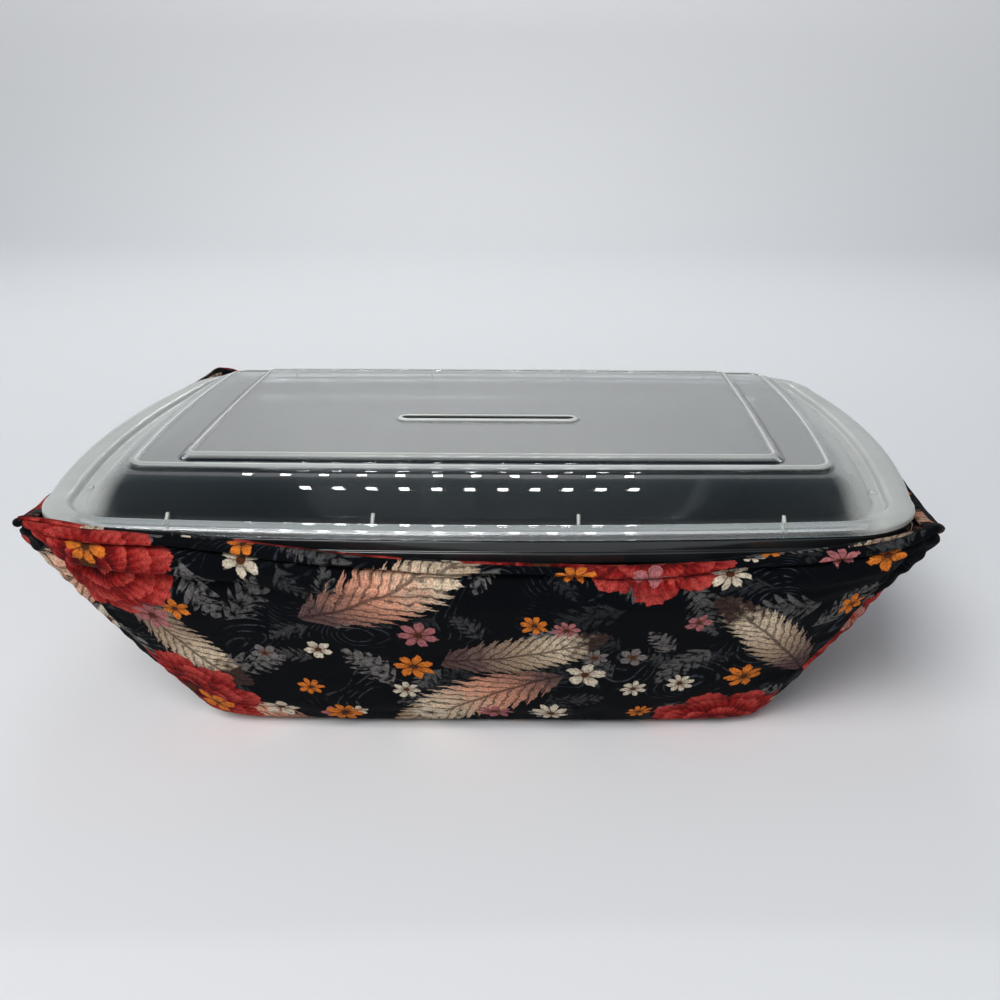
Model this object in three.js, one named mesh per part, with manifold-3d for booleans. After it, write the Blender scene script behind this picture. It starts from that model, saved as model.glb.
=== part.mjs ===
// Quilted cotton cozy for a rectangular food tray, with the tray and its vented lid in place.
// Millimetres, +Z up, +X along the long side, origin at the centre of the cozy's flat base.
import * as THREE from 'three';
import { mergeVertices } from 'three/addons/utils/BufferGeometryUtils.js';
import Module from 'manifold-3d';

const wasm = await Module();
wasm.setup();
const lerp = THREE.MathUtils.lerp;

// Fit between pieces that touch
const GAP = 0.3;

// Layers of the cozy: both battings are pressed thinner where the rim is stitched down
const COTTON = 0.5;
const BATTING_WALL = 2.2;
const BATTING_RIM = 0.6;
const PRESS_POWER = 2;
const SEAM_ROOM = 0.9;

// Faces of the sewn stack, counted from the outside in; a layer's inner face follows its outer one
const OUTER_COTTON_FACE = 0;
const OUTER_BATTING_FACE = 2;
const LINING_BATTING_FACE = 4;
const LINING_COTTON_FACE = 6;

// Lid flange, the standard size that the tray and the cozy follow: half sizes are taken at the
// middle of a side, and a bow is how far that middle stands out past the corners
const LID_FLANGE = { halfX: 110.5, halfY: 76, corner: 21, bowX: 5.4, bowY: 3.7 };

// Tray, standing on the lining
const PLASTIC = 1;
const TRAY_DEPTH = 53.5;
const TRAY_FOOT_Z = stackDepths(0).at(-1) + GAP;
const TRAY_RIM_Z = TRAY_FOOT_Z + TRAY_DEPTH;
const MOUTH_STEP = { runX: 6.5, runY: 6.5, corner: 19, bowX: 4, bowY: 3 };
const TRAY_MOUTH = steppedIn(LID_FLANGE, MOUTH_STEP);
const HEEL_STEP = { runX: 32, runY: 23.5, corner: 15, bowX: 1, bowY: 1 };
const TRAY_HEEL = steppedIn(TRAY_MOUTH, HEEL_STEP);
const FOOT_STEP = { runX: 10, runY: 10, corner: 10, bowX: 0, bowY: 0 };
const TRAY_FOOT = steppedIn(TRAY_HEEL, FOOT_STEP);
const TRAY_HEEL_RISE = 5;
const HEEL_BEND_RUN = 0.6;
const HEEL_BEND_RISE = 0.3;
const MOUTH_DROP = 3.7;
const SKIRT_STEP = 0.5;
const SKIRT_STEP_DROP = 2.7;
const SKIRT_DROP = 4.3;

// Lid: heights count from the tray's rim, each step of the dome from the one below
const LID_SHEET = 0.9;
const FLANGE_ROUND = 2.2;
const FLANGE_STEP = { runX: 8, runY: 4.8, corner: 17, bowX: 4.5, bowY: 3 };
const FLANGE_FOOT = steppedIn(LID_FLANGE, FLANGE_STEP);
const FLANGE_RISE = 2.9;
const GUTTER_RISE = 1.3;
const DOME_STEP = { runX: 3, runY: 0.8, corner: 18, bowX: 4, bowY: 2.5 };
const DOME_FOOT = steppedIn(FLANGE_FOOT, DOME_STEP);
const SHOULDER_STEP = { runX: 9.5, runY: 20.1, corner: 6.5, bowX: 2, bowY: 1 };
const DOME_SHOULDER = steppedIn(DOME_FOOT, SHOULDER_STEP);
const LEDGE_STEP = { runX: 1.5, runY: 1.7, corner: 5 };
const DOME_LEDGE = steppedIn(DOME_SHOULDER, LEDGE_STEP);
const PANEL_STEP = { runX: 12.7, runY: 3, corner: 4, bowX: 0.5, bowY: 0.5 };
const PANEL_FOOT = steppedIn(DOME_LEDGE, PANEL_STEP);
const PANEL_EDGE_STEP = { runX: 1.8, runY: 1.6, corner: 3 };
const PANEL_TOP = steppedIn(PANEL_FOOT, PANEL_EDGE_STEP);
const DOME_RISE = 6.6;
const LEDGE_RISE = 1;
const PANEL_RISE = 1.5;
const FLANGE_TOP_Z = TRAY_RIM_Z + FLANGE_RISE;
const GUTTER_Z = TRAY_RIM_Z + GUTTER_RISE;
const SHOULDER_Z = GUTTER_Z + DOME_RISE;
const LEDGE_Z = SHOULDER_Z + LEDGE_RISE;
const PANEL_Z = LEDGE_Z + PANEL_RISE;
const VENT_LENGTH = 47;
const VENT_WIDTH = 2.6;
const VENT_Y = -13;
const VENT_LIP = 1.6;
const VENT_LIP_RISE = 0.7;
const FIN_THICKNESS = 1;
const FIN_LENGTH = 3.4;
const FIN_RISE = 2;
const FIN_PITCH = 47;
const FINS_PER_LONG_SIDE = 4;
const END_FIN_Y = 46;

// Cozy, outside face: the base takes the tray's heel and the rim takes the flange
const BASE_STEP = { runX: -3, runY: -6.5, corner: 9 };
const COZY_BASE = steppedIn(TRAY_HEEL, BASE_STEP);
const BASE_EDGE_RUN = 3;
const BASE_EDGE_RISE = 2.4;
const RIM_STEP = { runX: -5.5, runY: -5, corner: 4, bowX: 10, bowY: 3.3 };
const COZY_RIM = steppedIn(LID_FLANGE, RIM_STEP);
const WALL_LEAN = 1.2;
const LEAST_CORNER = 0.6;
const RIM_BAND = 4;
const RIM_DROP = 6;
const RIM_LOW_Z = TRAY_RIM_Z - RIM_DROP;
const EAR_RISE = 10;
const EAR_POWER = 2.8;
const EAR_LEAN = 0.965;
const EAR_FLARE = 30;
const EAR_REACH = 24;
const WALL_LEVELS = [0.24, 0.5, 0.76, 1];
const THREAD = 0.3;
const SEAM_LEVELS = [0.16, 0.35, 0.55, 0.75, 0.95];
const RIM_THREAD = 0.5;
const STITCH_DROP = 3.8;

// Fineness of the outlines and tubes
const CORNER_STEPS = 5;
const SIDE_STEPS = 10;
const THREAD_SIDES = 6;
const SEAM_STEPS = 8;

// Outline set in by its own run each way, or out by a run below 0, with any new corner and bows
function steppedIn(shape, { runX, runY, ...form }) {
  return { ...shape, halfX: shape.halfX - runX, halfY: shape.halfY - runY, ...form };
}

// Outline of a rounded rectangle with bowed sides, anticlockwise from the front right corner;
// its points crowd toward the corners
function outline({ halfX, halfY, corner, bowX, bowY }) {
  const centreX = halfX - bowX - corner;
  const centreY = halfY - bowY - corner;
  const corners = [[1, -1], [1, 1], [-1, 1], [-1, -1]];
  const arcs = corners.map(([signX, signY], index) => {
    const arc = new THREE.EllipseCurve(
      signX * centreX, signY * centreY, corner, corner,
      (index - 1) * Math.PI / 2, index * Math.PI / 2,
    );
    return arc.getPoints(CORNER_STEPS);
  });
  return arcs.flatMap((arc, index) => {
    const start = arc.at(-1);
    const end = arcs[(index + 1) % arcs.length][0];
    const sideways = index % 2 === 0;
    const bow = sideways ? new THREE.Vector2(bowX, 0) : new THREE.Vector2(0, bowY);
    bow.multiplyScalar(index < 2 ? 1 : -1);
    const side = [];
    for (let step = 1; step < SIDE_STEPS; step += 1) {
      const along = (1 - Math.cos(Math.PI * step / SIDE_STEPS)) / 2;
      const point = start.clone().lerp(end, along);
      side.push(point.addScaledVector(bow, 4 * along * (1 - along)));
    }
    return [...arc, ...side];
  });
}

// Same outline drawn in by a margin, its corners staying concentric
function drawnIn(shape, margin) {
  return {
    ...shape,
    halfX: shape.halfX - margin,
    halfY: shape.halfY - margin,
    corner: Math.max(shape.corner - margin, LEAST_CORNER),
  };
}

function blend(lower, upper, amount) {
  const keys = ['halfX', 'halfY', 'corner', 'bowX', 'bowY'];
  return Object.fromEntries(keys.map((key) => [key, lerp(lower[key], upper[key], amount)]));
}

function levelRing(shape, z) {
  return outline(shape).map((point) => new THREE.Vector3(point.x, point.y, z));
}

function meshOf(points, index) {
  const geometry = new THREE.BufferGeometry().setFromPoints(points);
  geometry.setIndex(index);
  geometry.computeVertexNormals();
  return geometry;
}

// Triangles of the strip between two rings, given the index of each ring's first point; each
// four-sided facet is split along its shorter diagonal, so that nested strips split alike
function strip(points, lower, upper, count) {
  const index = [];
  for (let i = 0; i < count; i += 1) {
    const j = (i + 1) % count;
    const [a, b, c, d] = [lower + i, lower + j, upper + j, upper + i];
    if (points[a].distanceTo(points[c]) < points[b].distanceTo(points[d])) {
      index.push(a, b, c, a, c, d);
    } else {
      index.push(a, b, d, b, c, d);
    }
  }
  return index;
}

// Closed skin over a run of rings, from a flat cap below to a flat cap above
function skin(rings) {
  const count = rings[0].length;
  const points = rings.flat();
  const top = (rings.length - 1) * count;
  const low = points.push(new THREE.Vector3(0, 0, points[0].z)) - 1;
  const high = points.push(new THREE.Vector3(0, 0, points[top].z)) - 1;
  const index = [];
  for (let row = 0; row < top; row += count) {
    index.push(...strip(points, row, row + count, count));
  }
  for (let i = 0; i < count; i += 1) {
    const j = (i + 1) % count;
    index.push(low, j, i);
    index.push(high, top + i, top + j);
  }
  return meshOf(points, index);
}

// Closed skin over rings that come back to the first one
function loopSkin(rings) {
  const count = rings[0].length;
  const points = rings.flat();
  const index = rings.flatMap((ring, row) => {
    return strip(points, row * count, ((row + 1) % rings.length) * count, count);
  });
  return meshOf(points, index);
}

function toSolid(geometry) {
  const bare = geometry.clone();
  bare.deleteAttribute('normal');
  bare.deleteAttribute('uv');
  const merged = mergeVertices(bare);
  const vertProperties = new Float32Array(merged.attributes.position.array);
  const triVerts = new Uint32Array(merged.index.array);
  return new wasm.Manifold(new wasm.Mesh({ numProp: 3, vertProperties, triVerts }));
}

function toGeometry(solid) {
  const mesh = solid.getMesh();
  const geometry = new THREE.BufferGeometry();
  geometry.setAttribute('position', new THREE.BufferAttribute(mesh.vertProperties, 3));
  geometry.setIndex(new THREE.BufferAttribute(mesh.triVerts, 1));
  geometry.computeVertexNormals();
  return geometry;
}

// Depths of the eight faces of the sewn stack, from the outside in, at a level of the wall that
// runs from 0 at the base to 1 under the rim
function stackDepths(level) {
  const batting = lerp(BATTING_WALL, BATTING_RIM, level ** PRESS_POWER);
  const steps = [0, COTTON, GAP, batting, SEAM_ROOM, batting, GAP, COTTON];
  let depth = 0;
  return steps.map((step) => {
    depth += step;
    return depth;
  });
}

function seamDepth(level) {
  const depths = stackDepths(level);
  return (depths[LINING_BATTING_FACE - 1] + depths[LINING_BATTING_FACE]) / 2;
}

// Ring round the cozy at a depth in the stack; heightAt takes the rim's height to the ring's.
// The wall leans out from the base and stands upright in a band under the rim, which climbs
// into an ear at each corner. There the wall leans less, and flares out at the ear's tip.
function cozyRing(depth, heightAt, margin = 0) {
  const inset = depth * WALL_LEAN + margin;
  const rimShape = drawnIn(COZY_RIM, inset);
  const earX = rimShape.halfX - rimShape.bowX;
  const earY = rimShape.halfY - rimShape.bowY;
  const base = outline(drawnIn(COZY_BASE, inset));
  return outline(rimShape).map((rim, index) => {
    const towardEar = Math.min(Math.abs(rim.x) / earX, Math.abs(rim.y) / earY, 1);
    const rimZ = RIM_LOW_Z + EAR_RISE * towardEar ** EAR_POWER;
    const z = heightAt(rimZ);
    const sideShare = Math.min(1, z / (rimZ - RIM_BAND));
    const earShare = lerp((z / rimZ) ** EAR_FLARE, z / rimZ, EAR_LEAN);
    const share = lerp(sideShare, earShare, towardEar ** EAR_REACH);
    const { x, y } = base[index].clone().lerp(rim, share);
    return new THREE.Vector3(x, y, z);
  });
}

function wallRing(depth, level) {
  return cozyRing(depth, (rimZ) => level * (rimZ - RIM_BAND));
}

function rimRing(depth, drop) {
  return cozyRing(depth, (rimZ) => rimZ - drop);
}

// One face of a layer, from the flat base up to the rim, which it stops short of by drop
function layerFace(face, drop) {
  const baseZ = stackDepths(0)[face];
  return [
    cozyRing(baseZ, () => baseZ, BASE_EDGE_RUN),
    cozyRing(baseZ, () => baseZ + BASE_EDGE_RISE),
    ...WALL_LEVELS.map((level) => wallRing(stackDepths(level)[face], level)),
    rimRing(stackDepths(1)[face], drop),
  ];
}

// The cotton of each side is turned in over the battings, edge to edge with the other
function outerShell() {
  const turned = seamDepth(1) - GAP / 2;
  const edge = [rimRing(turned, 0), rimRing(turned, COTTON)];
  const outside = layerFace(OUTER_COTTON_FACE, 0);
  const inside = layerFace(OUTER_COTTON_FACE + 1, COTTON);
  return skin([...outside, ...edge, ...inside.reverse()]);
}

function liningShell() {
  const turned = seamDepth(1) + GAP / 2;
  const edge = [rimRing(turned, COTTON), rimRing(turned, 0)];
  const outside = layerFace(LINING_COTTON_FACE, COTTON);
  const inside = layerFace(LINING_COTTON_FACE + 1, 0);
  return skin([...outside, ...edge, ...inside.reverse()]);
}

function batting(outerFace) {
  const drop = COTTON + GAP;
  return skin([...layerFace(outerFace, drop), ...layerFace(outerFace + 1, drop).reverse()]);
}

// Stitching of a corner dart, in the room between the battings; the outer and the lining dart
// are pressed to opposite sides of the corner
function cornerSeam(corner, fromLining) {
  const place = corner * (CORNER_STEPS + SIDE_STEPS) + (fromLining ? CORNER_STEPS : 0);
  const points = SEAM_LEVELS.map((level) => wallRing(seamDepth(level), level)[place]);
  const section = new THREE.Shape();
  section.absarc(0, 0, THREAD / 2, 0, 2 * Math.PI);
  return new THREE.ExtrudeGeometry(section, {
    extrudePath: new THREE.CatmullRomCurve3(points),
    steps: SEAM_STEPS,
    curveSegments: THREAD_SIDES / 2,
  });
}

// Topstitching round the rim, an unbroken thread lying just off the outer cotton
function rimTopstitch() {
  const around = (out, up) => cozyRing(-out, (rimZ) => rimZ - STITCH_DROP + up);
  const half = RIM_THREAD / 2;
  const middle = GAP + half;
  return loopSkin([
    around(middle - half, 0),
    around(middle, -half),
    around(middle + half, 0),
    around(middle, half),
  ]);
}

function foodTray() {
  const heelZ = TRAY_FOOT_Z + TRAY_HEEL_RISE;
  const mouthZ = TRAY_RIM_Z - MOUTH_DROP;
  const skirtLowZ = TRAY_RIM_Z - SKIRT_DROP;
  const skirtStepZ = TRAY_RIM_Z - SKIRT_STEP_DROP;
  const bend = blend(TRAY_FOOT, TRAY_HEEL, HEEL_BEND_RUN);
  const bendZ = TRAY_FOOT_Z + TRAY_HEEL_RISE * HEEL_BEND_RISE;
  const skirtTop = drawnIn(LID_FLANGE, SKIRT_STEP);
  const skirtInside = drawnIn(LID_FLANGE, PLASTIC + SKIRT_STEP);
  const inner = (shape) => drawnIn(shape, PLASTIC);
  return skin([
    levelRing(TRAY_FOOT, TRAY_FOOT_Z),
    levelRing(bend, bendZ),
    levelRing(TRAY_HEEL, heelZ),
    levelRing(TRAY_MOUTH, mouthZ),
    levelRing(TRAY_MOUTH, TRAY_RIM_Z - PLASTIC),
    levelRing(skirtInside, TRAY_RIM_Z - PLASTIC),
    levelRing(skirtInside, skirtLowZ),
    levelRing(LID_FLANGE, skirtLowZ),
    levelRing(LID_FLANGE, skirtStepZ),
    levelRing(skirtTop, skirtStepZ + SKIRT_STEP),
    levelRing(skirtTop, TRAY_RIM_Z),
    levelRing(inner(TRAY_MOUTH), TRAY_RIM_Z),
    levelRing(inner(TRAY_MOUTH), mouthZ),
    levelRing(inner(TRAY_HEEL), heelZ + PLASTIC / 2),
    levelRing(inner(bend), bendZ + PLASTIC),
    levelRing(inner(TRAY_FOOT), TRAY_FOOT_Z + PLASTIC),
  ]);
}

// Stadium prism along X, for the steam vent and its lip
function ventPrism(margin, lowZ, highZ) {
  const radius = VENT_WIDTH / 2 + margin;
  const reach = (VENT_LENGTH - VENT_WIDTH) / 2;
  const shape = new THREE.Shape();
  shape.absarc(reach, 0, radius, -Math.PI / 2, Math.PI / 2);
  shape.absarc(-reach, 0, radius, Math.PI / 2, 3 * Math.PI / 2);
  const prism = new THREE.ExtrudeGeometry(shape, {
    depth: highZ - lowZ, bevelEnabled: false, curveSegments: CORNER_STEPS,
  });
  prism.translate(0, VENT_Y, lowZ);
  return toSolid(prism);
}

// Small upright fin across the lid's gutter, climbing from the flange to the dome; facing turns
// it about Z
function gutterFin(x, y, facing) {
  const shape = new THREE.Shape();
  shape.moveTo(0, -LID_SHEET / 2);
  shape.lineTo(FIN_LENGTH, -LID_SHEET / 2);
  shape.lineTo(FIN_LENGTH, FIN_RISE);
  shape.closePath();
  const fin = new THREE.ExtrudeGeometry(shape, { depth: FIN_THICKNESS, bevelEnabled: false });
  fin.translate(0, 0, -FIN_THICKNESS / 2);
  fin.rotateX(Math.PI / 2);
  fin.rotateZ(facing);
  fin.translate(x, y, GUTTER_Z);
  return toSolid(fin);
}

function ventedLid() {
  const flangeCrown = drawnIn(LID_FLANGE, FLANGE_ROUND);
  const flangeBrow = drawnIn(FLANGE_FOOT, -FLANGE_ROUND / 2);
  const flangeLow = TRAY_RIM_Z + GAP;
  const under = (shape) => drawnIn(shape, LID_SHEET);
  const body = skin([
    levelRing(under(PANEL_TOP), PANEL_Z - LID_SHEET),
    levelRing(under(PANEL_FOOT), LEDGE_Z - LID_SHEET),
    levelRing(under(DOME_LEDGE), LEDGE_Z - LID_SHEET),
    levelRing(under(DOME_SHOULDER), SHOULDER_Z - LID_SHEET / 2),
    levelRing(under(DOME_FOOT), GUTTER_Z - LID_SHEET),
    levelRing(FLANGE_FOOT, GUTTER_Z - LID_SHEET),
    levelRing(FLANGE_FOOT, flangeLow + LID_SHEET),
    levelRing(drawnIn(LID_FLANGE, LID_SHEET), flangeLow + LID_SHEET),
    levelRing(drawnIn(LID_FLANGE, LID_SHEET), flangeLow),
    levelRing(LID_FLANGE, flangeLow),
    levelRing(LID_FLANGE, FLANGE_TOP_Z - FLANGE_ROUND / 2),
    levelRing(flangeCrown, FLANGE_TOP_Z),
    levelRing(flangeBrow, FLANGE_TOP_Z),
    levelRing(FLANGE_FOOT, GUTTER_Z),
    levelRing(DOME_FOOT, GUTTER_Z),
    levelRing(DOME_SHOULDER, SHOULDER_Z),
    levelRing(DOME_LEDGE, LEDGE_Z),
    levelRing(PANEL_FOOT, LEDGE_Z),
    levelRing(PANEL_TOP, PANEL_Z),
  ]);
  const finX = FLANGE_FOOT.halfX - LID_FLANGE.bowX / 2;
  const finY = FLANGE_FOOT.halfY;
  const fins = [];
  for (let fin = 0; fin < FINS_PER_LONG_SIDE; fin += 1) {
    const x = (fin - (FINS_PER_LONG_SIDE - 1) / 2) * FIN_PITCH;
    fins.push(gutterFin(x, -finY, Math.PI / 2));
    fins.push(gutterFin(x, finY, -Math.PI / 2));
  }
  for (const y of [-END_FIN_Y, END_FIN_Y]) {
    fins.push(gutterFin(-finX, y, 0));
    fins.push(gutterFin(finX, y, Math.PI));
  }
  const lip = ventPrism(VENT_LIP, PANEL_Z - LID_SHEET / 2, PANEL_Z + VENT_LIP_RISE);
  const slot = ventPrism(0, LEDGE_Z - LID_SHEET, PANEL_Z + 2 * VENT_LIP_RISE);
  const joined = [...fins, lip].reduce((solid, piece) => solid.add(piece), toSolid(body));
  return toGeometry(joined.subtract(slot));
}

const cottonLook = { color: 0x1b1a22, roughness: 0.9, metalness: 0 };
const battingLook = { color: 0xe9e3d6, roughness: 1, metalness: 0 };
const threadLook = { color: 0x22202a, roughness: 0.8, metalness: 0 };
const trayLook = { color: 0x15181b, roughness: 0.4, metalness: 0 };
const lidLook = { color: 0xc9d0d2, roughness: 0.2, metalness: 0, transparent: true, opacity: 0.45 };

const part = new THREE.Group();

function addPiece(name, geometry, look) {
  const mesh = new THREE.Mesh(geometry, new THREE.MeshStandardMaterial(look));
  mesh.name = name;
  part.add(mesh);
}

addPiece('outer_shell', outerShell(), cottonLook);
addPiece('outer_batting', batting(OUTER_BATTING_FACE), battingLook);
addPiece('lining_batting', batting(LINING_BATTING_FACE), battingLook);
addPiece('lining_shell', liningShell(), cottonLook);
addPiece('rim_topstitch', rimTopstitch(), threadLook);
['front_right', 'back_right', 'back_left', 'front_left'].forEach((corner, index) => {
  addPiece(`outer_dart_seam_${corner}`, cornerSeam(index, false), threadLook);
  addPiece(`lining_dart_seam_${corner}`, cornerSeam(index, true), threadLook);
});
addPiece('food_tray', foodTray(), trayLook);
addPiece('vented_lid', ventedLid(), lidLook);

export default part;
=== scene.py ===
import math

import bpy
import numpy as np
from mathutils import Euler, Matrix, Vector, noise
from mathutils.bvhtree import BVHTree


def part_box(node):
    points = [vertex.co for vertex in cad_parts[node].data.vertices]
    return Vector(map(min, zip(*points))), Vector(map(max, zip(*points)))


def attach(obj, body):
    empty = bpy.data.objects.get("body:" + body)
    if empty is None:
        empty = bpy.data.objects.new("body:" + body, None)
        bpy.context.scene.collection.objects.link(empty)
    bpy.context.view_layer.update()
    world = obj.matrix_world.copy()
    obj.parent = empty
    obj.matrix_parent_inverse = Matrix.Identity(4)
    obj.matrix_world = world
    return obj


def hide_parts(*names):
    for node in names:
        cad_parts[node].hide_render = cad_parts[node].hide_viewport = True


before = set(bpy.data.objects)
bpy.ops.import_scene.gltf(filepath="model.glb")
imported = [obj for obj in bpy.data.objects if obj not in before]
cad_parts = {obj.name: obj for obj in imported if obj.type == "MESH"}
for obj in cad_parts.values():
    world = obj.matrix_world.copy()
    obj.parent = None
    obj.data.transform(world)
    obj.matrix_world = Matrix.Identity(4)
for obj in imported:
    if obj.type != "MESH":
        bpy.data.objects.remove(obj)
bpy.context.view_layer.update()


# Outer cotton: one piece of printed quilting cotton, cut with a dart at each corner. The darts
# pull its sides up into walls whose corners stand out as ears. A batting swells it from behind,
# and at the rim it turns in over the batting as a soft roll above a stitched crease.
BASE = dict(half_x=0.075, half_y=0.0525, corner=0.009, bow_x=0.001, bow_y=0.001)
RIM = dict(half_x=0.116, half_y=0.081, corner=0.004, bow_x=0.010, bow_y=0.0033)
LEAST_CORNER = 0.0006
WALL_LEAN = 1.2
RIM_LOW = 0.0547
RIM_BAND = 0.004
EAR_RISE = 0.010
EAR_POWER = 2.8
EAR_LEAN = 0.90
EAR_FLARE = 30
EAR_REACH = 22
EAR_PRESS = 0.5
EAR_SOFTNESS = 0.016
EAR_SETS = {
    (1, -1): (-0.0005, 0.0, 0.0010),
    (1, 1): (-0.0010, 0.0, -0.0045),
    (-1, 1): (0.0040, 0.0, -0.0005),
    (-1, -1): (0.0031, 0.0, 0.0004),
}
FRONT_X = (
    -0.106, -0.098, -0.087, -0.076, -0.065, -0.054, -0.043, -0.026,
    -0.006, 0.017, 0.034, 0.045, 0.060, 0.083, 0.095, 0.106,
)
FRONT_LIFT = (
    0.0012, 0.0020, 0.0030, 0.0043, 0.0053, 0.0054, 0.0047, 0.0036,
    0.0024, 0.0018, 0.0010, 0.0010, 0.0013, 0.0002, -0.0006, 0.0,
)
FRONT_FADE = 0.022
CORNER_STEPS = 10
LONG_STEPS = 92
SHORT_STEPS = 62


def outline(half_x, half_y, corner, bow_x, bow_y):
    """Rounded rectangle with bowed sides, anticlockwise from the front right corner."""
    middle = np.array((half_x - bow_x - corner, half_y - bow_y - corner))
    bows = np.array(((bow_x, 0), (0, bow_y), (-bow_x, 0), (0, -bow_y)))
    quarter = np.linspace(0, math.pi / 2, CORNER_STEPS + 1)
    arcs = []
    for turn, sign in enumerate(((1, -1), (1, 1), (-1, 1), (-1, -1))):
        angle = quarter + (turn - 1) * math.pi / 2
        arcs.append(sign * middle + corner * np.stack((np.cos(angle), np.sin(angle)), axis=1))
    points = []
    for turn, arc in enumerate(arcs):
        steps = LONG_STEPS if turn % 2 else SHORT_STEPS
        along = np.linspace(0, 1, steps + 1)[1:-1, None]
        chord = arc[-1] * (1 - along) + arcs[(turn + 1) % 4][0] * along
        points += [arc, chord + 4 * along * (1 - along) * bows[turn]]
    return np.concatenate(points)


def drawn_in(shape, margin):
    """The same outline, set in by a margin."""
    smaller = {key: shape[key] - margin for key in ("half_x", "half_y")}
    return {**shape, **smaller, "corner": max(shape["corner"] - margin, LEAST_CORNER)}


def wall_ring(inset, height_at):
    """Ring set in from the cozy's outside; height_at turns the rim's height into the ring's."""
    shape = drawn_in(RIM, inset)
    rim = outline(**shape)
    base = outline(**drawn_in(BASE, inset))
    reach = (shape["half_x"] - shape["bow_x"], shape["half_y"] - shape["bow_y"])
    toward_ear = np.minimum((np.abs(rim) / reach).min(axis=1), 1)
    past_front = np.maximum(rim[:, 1] + reach[1], 0) / FRONT_FADE
    lift = np.interp(rim[:, 0], FRONT_X, FRONT_LIFT) * np.exp(-past_front ** 2)
    rim_z = RIM_LOW + EAR_RISE * toward_ear ** EAR_POWER + lift
    z = height_at(rim_z) * np.ones_like(rim_z)
    side_share = np.clip(z / (rim_z - RIM_BAND), 0, 1)
    rise = z / rim_z
    ear_share = EAR_LEAN * rise + (1 - EAR_LEAN) * rise ** EAR_FLARE
    at_ear = toward_ear ** EAR_REACH
    share = (side_share * (1 - at_ear) + ear_share * at_ear)[:, None]
    return np.column_stack((base * (1 - share) + rim * share, z)), at_ear


def cozy_ring(depth, height_at, margin=0.0):
    """Ring at a depth in the padded wall, which thins toward the ears, each set in its own way."""
    ring, at_ear = wall_ring(depth * WALL_LEAN + margin, height_at)
    skin, _ = wall_ring(margin, height_at)
    pressed = (EAR_PRESS * at_ear)[:, None]
    ring = ring * (1 - pressed) + skin * pressed
    reach_x, reach_y = RIM["half_x"] - RIM["bow_x"], RIM["half_y"] - RIM["bow_y"]
    for (sign_x, sign_y), move in EAR_SETS.items():
        tip = np.array((sign_x * reach_x, sign_y * reach_y, RIM_LOW + EAR_RISE))
        near = np.exp(-((ring - tip) ** 2).sum(axis=1) / EAR_SOFTNESS ** 2)
        ring = ring + near[:, None] * move
    return ring


def new_piece(name, points, faces):
    """A smooth-shaded object of these points and faces, placed in the scene."""
    mesh = bpy.data.meshes.new(name)
    mesh.from_pydata(points, [], faces)
    mesh.shade_smooth()
    piece = bpy.data.objects.new(name, mesh)
    bpy.context.collection.objects.link(piece)
    return piece


def ring_faces(rows, count, looped=False):
    """Four-sided faces between rings of count points each, first ring to last."""
    faces = []
    for row in range(rows if looped else rows - 1):
        low, high = row * count, (row + 1) % rows * count
        for i in range(count):
            j = (i + 1) % count
            faces.append((low + i, low + j, high + j, high + i))
    return faces


EDGE_RUN = 0.0040
EDGE_RISE = 0.0034
EDGE_TURNS = np.radians((30, 60, 90))
FLOOR_SHARES = (0.02, 0.2, 0.4, 0.6, 0.8, 0.92, 1)
WALL_ROWS = 44
WALL_START = 1.8
WALL_EVENNESS = 0.45
WALL_TOP_LEVEL = 1.026
ROLL_MIDDLE = 0.0017
ROLL_WIDTH = 0.0022
ROLL_HEIGHT = 0.0011
ROLL_TURNS = np.radians((-60, -30, 0, 25, 50, 70, 90))
STITCH_DROP = 0.0024
STITCH_PULL = 0.0020
BASE_CORNER_LIFTS = {(1, -1): 0.0012, (1, 1): 0.0012, (-1, 1): 0.0028, (-1, -1): 0.0028}
BASE_CORNER_SOFTNESS = 0.012
BASE_CORNER_FADE = 0.007


def floor_rings(depth, rise):
    """Rings of the flat base, from its middle outward."""
    ring = cozy_ring(depth, lambda rim_z: rise, EDGE_RUN)
    return [ring * (share, share, 1) for share in FLOOR_SHARES]


def edge_rings(depth, rise):
    """Rings round the soft edge where the base turns up into the walls."""
    rings = []
    for turn in EDGE_TURNS:
        z = rise + EDGE_RISE * (1 - math.cos(turn))
        rings.append(cozy_ring(depth, lambda rim_z: z, EDGE_RUN * (1 - math.sin(turn))))
    return rings


def wall_levels(rise):
    """Levels of the wall's rings, closer together toward the rim."""
    share = np.linspace(0, 1, WALL_ROWS)
    share = WALL_EVENNESS * share + (1 - WALL_EVENNESS) * (1 - (1 - share) ** 2)
    lowest = (rise + WALL_START * EDGE_RISE) / RIM_LOW
    return lowest + (WALL_TOP_LEVEL - lowest) * share


def level_ring(depth, level):
    return cozy_ring(depth, lambda rim_z: level * (rim_z - RIM_BAND))


def roll_ring(side, turn):
    depth = ROLL_MIDDLE + side * ROLL_WIDTH * math.cos(turn)
    return cozy_ring(depth, lambda rim_z: rim_z - ROLL_HEIGHT * (1 - math.sin(turn)))


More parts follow.
